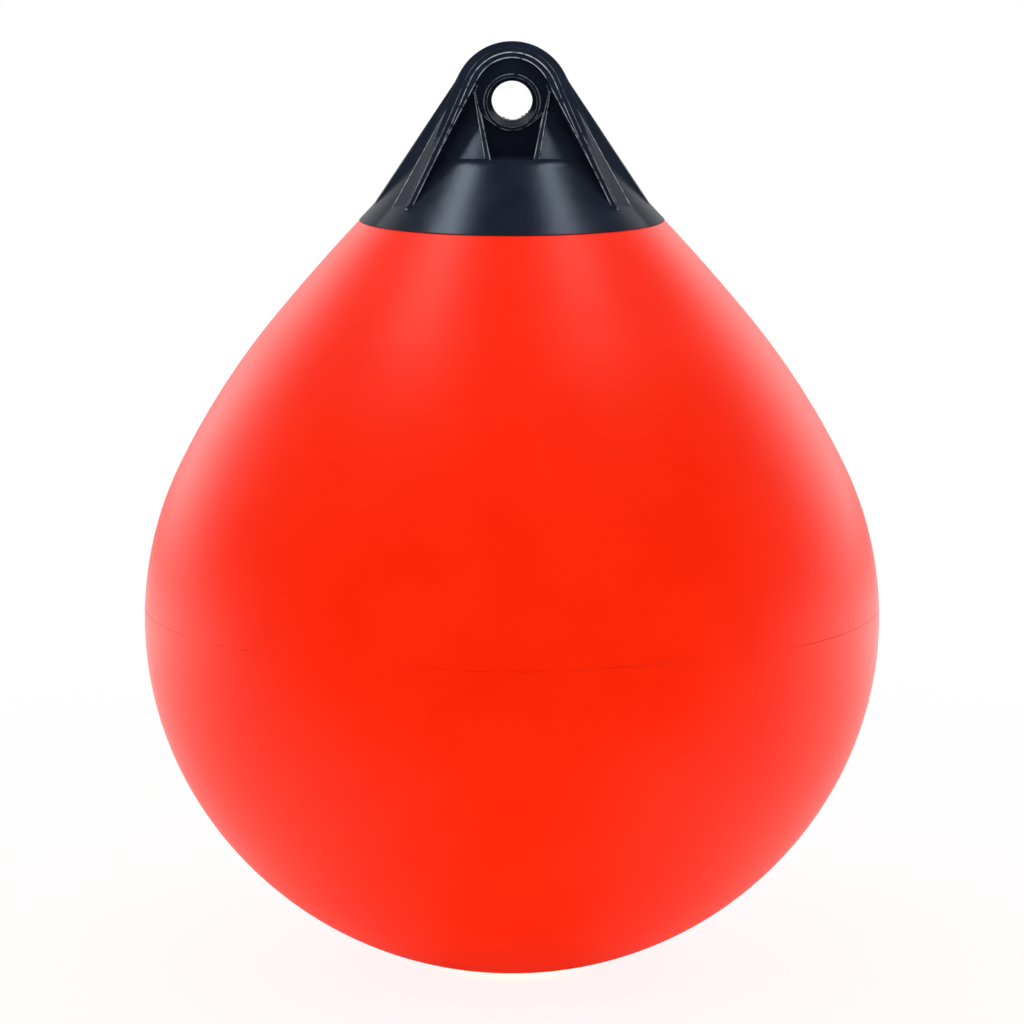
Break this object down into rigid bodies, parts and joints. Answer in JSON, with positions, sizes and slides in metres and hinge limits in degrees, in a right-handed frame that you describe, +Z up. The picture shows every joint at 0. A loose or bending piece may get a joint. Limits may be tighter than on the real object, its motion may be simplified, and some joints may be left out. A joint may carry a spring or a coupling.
{
  "type": "inflatable teardrop buoy",
  "caption": "Red inflatable vinyl buoy, round below and tapering to a dark moulded cap with arched legs and a rope eye; used as a marker, mooring buoy or fender.",
  "frame": {"origin": "on the float's axis at the height of its water line when it floats upright and empty", "axes": "+Z up along the float's axis towards the rope eye, +Y along the rope eye towards the air valve, +X across the eye"},
  "size_m": [0.455, 0.455, 0.5769],
  "materials": {
    "red_vinyl": "satin soft vinyl",
    "dark_vinyl": "semi-gloss moulded vinyl, fine grain",
    "black_nylon": "matt moulded nylon",
    "grey_nylon": "satin moulded nylon"
  },
  "bodies": {
    "root": {"float_body": "red_vinyl", "rope_cap": "dark_vinyl", "valve_seat": "black_nylon", "valve_plug": "grey_nylon"}
  },
  "joints": []
}
